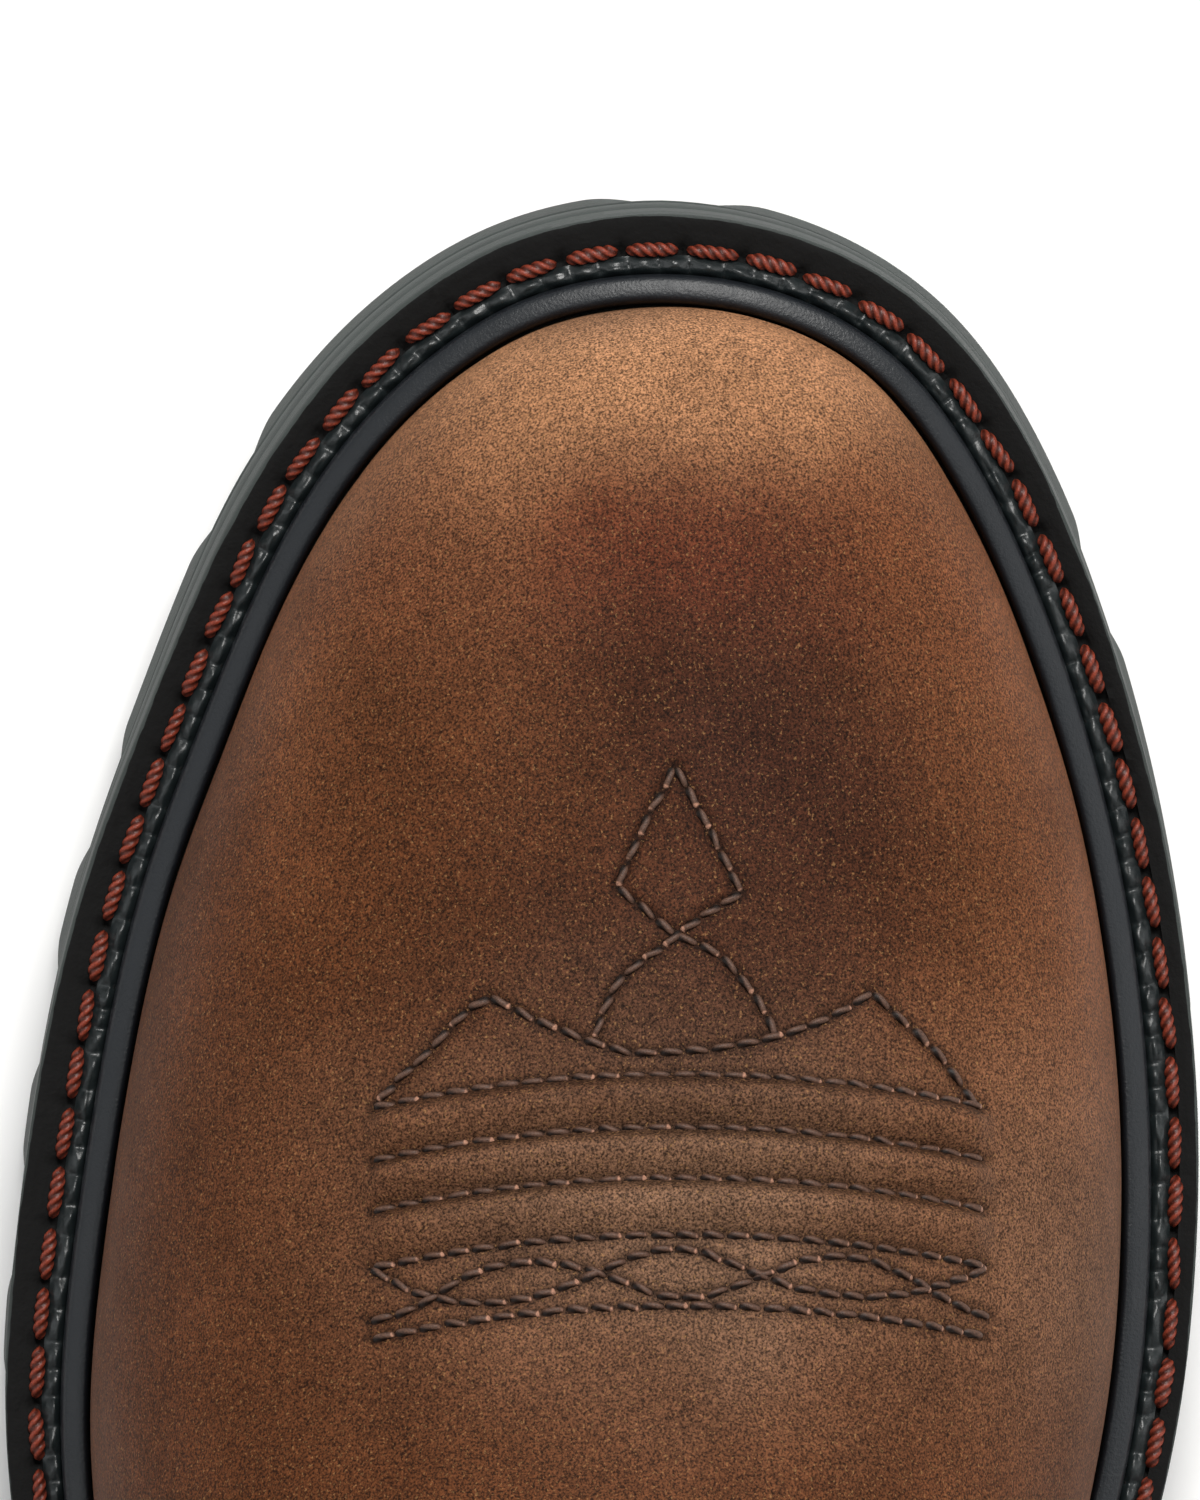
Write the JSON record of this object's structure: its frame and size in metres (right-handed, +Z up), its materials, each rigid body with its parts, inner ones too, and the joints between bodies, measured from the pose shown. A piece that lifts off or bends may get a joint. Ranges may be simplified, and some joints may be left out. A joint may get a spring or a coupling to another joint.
{
  "type": "boot",
  "caption": "Pull-on western work boot for the left foot, hollow leather upper with a round toe on a welted, lugged rubber sole and block heel, pull straps at the collar",
  "frame": {"origin": "middle of the heel's flat ground face", "axes": "+X from heel to toe along the sole, +Y to the wearer's outer (left) side, +Z up"},
  "size_m": [0.3261, 0.1194, 0.2962],
  "materials": {
    "outsole_rubber": "matt moulded black rubber",
    "midsole_rubber": "matt black rubber, ground edge",
    "welt_black": "satin black welt strip",
    "heel_rubber": "matt black stacked heel",
    "cap_rubber": "matt moulded black rubber",
    "footbed": "plain tan leather",
    "upper_leather": "oiled dark brown leather",
    "vamp_leather": "oiled brown leather, soft burnish",
    "counter_leather": "oiled brown leather",
    "seam_leather_lateral": "oiled dark brown leather",
    "seam_leather_medial": "oiled dark brown leather",
    "binding_leather": "folded dark brown leather",
    "strap_lateral": "dark brown leather strap",
    "strap_medial": "dark brown leather strap"
  },
  "bodies": {
    "root": {"outsole": "outsole_rubber", "midsole": "midsole_rubber", "welt": "welt_black", "heel": "heel_rubber", "heel_cap": "cap_rubber", "insole": "footbed", "upper": "upper_leather", "vamp": "vamp_leather", "counter": "counter_leather", "side_seam_lateral": "seam_leather_lateral", "side_seam_medial": "seam_leather_medial", "collar_binding": "binding_leather", "pull_strap_lateral": "strap_lateral", "pull_strap_medial": "strap_medial"}
  },
  "joints": []
}
